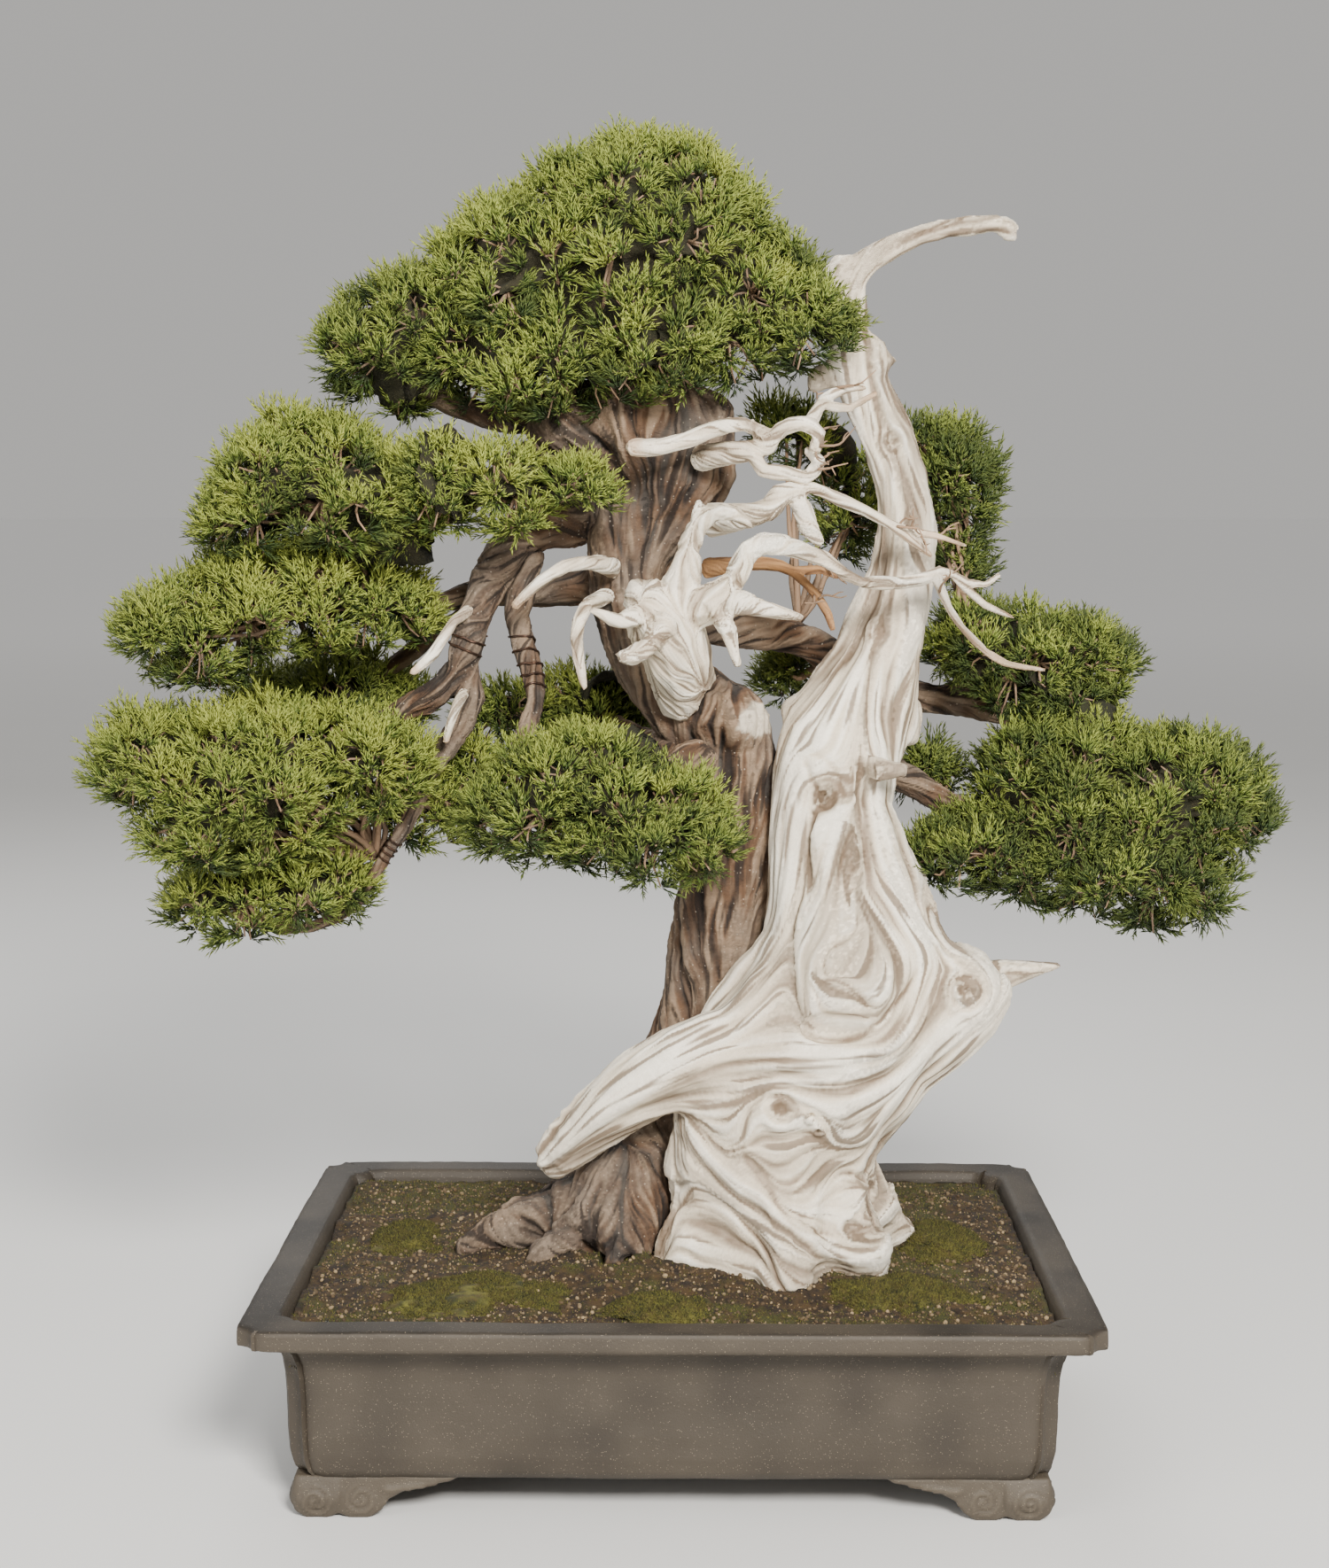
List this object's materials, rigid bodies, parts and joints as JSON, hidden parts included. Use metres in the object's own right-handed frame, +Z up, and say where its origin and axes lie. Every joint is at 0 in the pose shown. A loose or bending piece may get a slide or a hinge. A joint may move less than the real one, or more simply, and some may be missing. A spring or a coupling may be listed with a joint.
{
  "type": "potted juniper bonsai",
  "caption": "Driftwood-style juniper bonsai: a bleached dead trunk beside a living one, with layered leaf pads, in a rectangular footed clay pot.",
  "frame": {"origin": "centre of the whole part's box, on the surface that the pot's feet stand on", "axes": "+Z up, -Y towards the tree's front, +X to the viewer's right"},
  "size_m": [0.8864, 0.454, 0.9772],
  "materials": {
    "pot_clay": "unglazed taupe clay, matte, fine pale specks",
    "drain_mesh": "black plastic mesh",
    "gravel": "coarse grit",
    "soil": "damp granular clay soil",
    "moss": "short soft moss, yellow-green to brown",
    "deadwood": "bleached bare wood with fine weathered grain",
    "bark": "fibrous juniper bark, grey-brown to red-brown",
    "leaf": "tufts of short needle leaves, mid green with lighter tips",
    "wire": "dark annealed copper wire",
    "dry_twig": "dry orange-brown twig"
  },
  "bodies": {
    "root": {"pot": "pot_clay", "drain_screen_left": "drain_mesh", "drain_screen_right": "drain_mesh", "gravel_layer": "gravel", "soil": "soil", "moss_front_left": "moss", "moss_front_right": "moss", "moss_right": "moss", "moss_left": "moss", "moss_back": "moss", "moss_front": "moss", "trunk_deadwood": "deadwood", "trunk_live": "bark", "branch_crown_left": "bark", "branch_left_upper": "bark", "branch_left_main": "bark", "branch_left_inner": "bark", "branch_left_back": "bark", "branch_centre_low": "bark", "branch_right_upper": "bark", "branch_right_low": "bark", "jin_centre": "deadwood", "jin_upper": "deadwood", "jin_middle": "deadwood", "dead_stick_left_top": "deadwood", "dead_stick_left_outer": "deadwood", "dead_stick_left_hanging": "deadwood", "dead_stick_left_low": "deadwood", "dead_twig_brown": "dry_twig", "foliage_crown": "leaf", "foliage_left_upper": "leaf", "foliage_left_front": "leaf", "foliage_left_mid": "leaf", "foliage_left_back": "leaf", "foliage_left_low": "leaf", "foliage_left_lowest": "leaf", "foliage_left_inner": "leaf", "foliage_centre_low": "leaf", "foliage_centre_back": "leaf", "foliage_right_back": "leaf", "foliage_right_upper": "leaf", "foliage_right_low": "leaf", "foliage_right_inner": "leaf", "foliage_behind_spire": "leaf", "foliage_behind_jins": "leaf", "wire_left_main": "wire", "wire_left_drop": "wire", "wire_left_inner": "wire"}
  },
  "joints": []
}
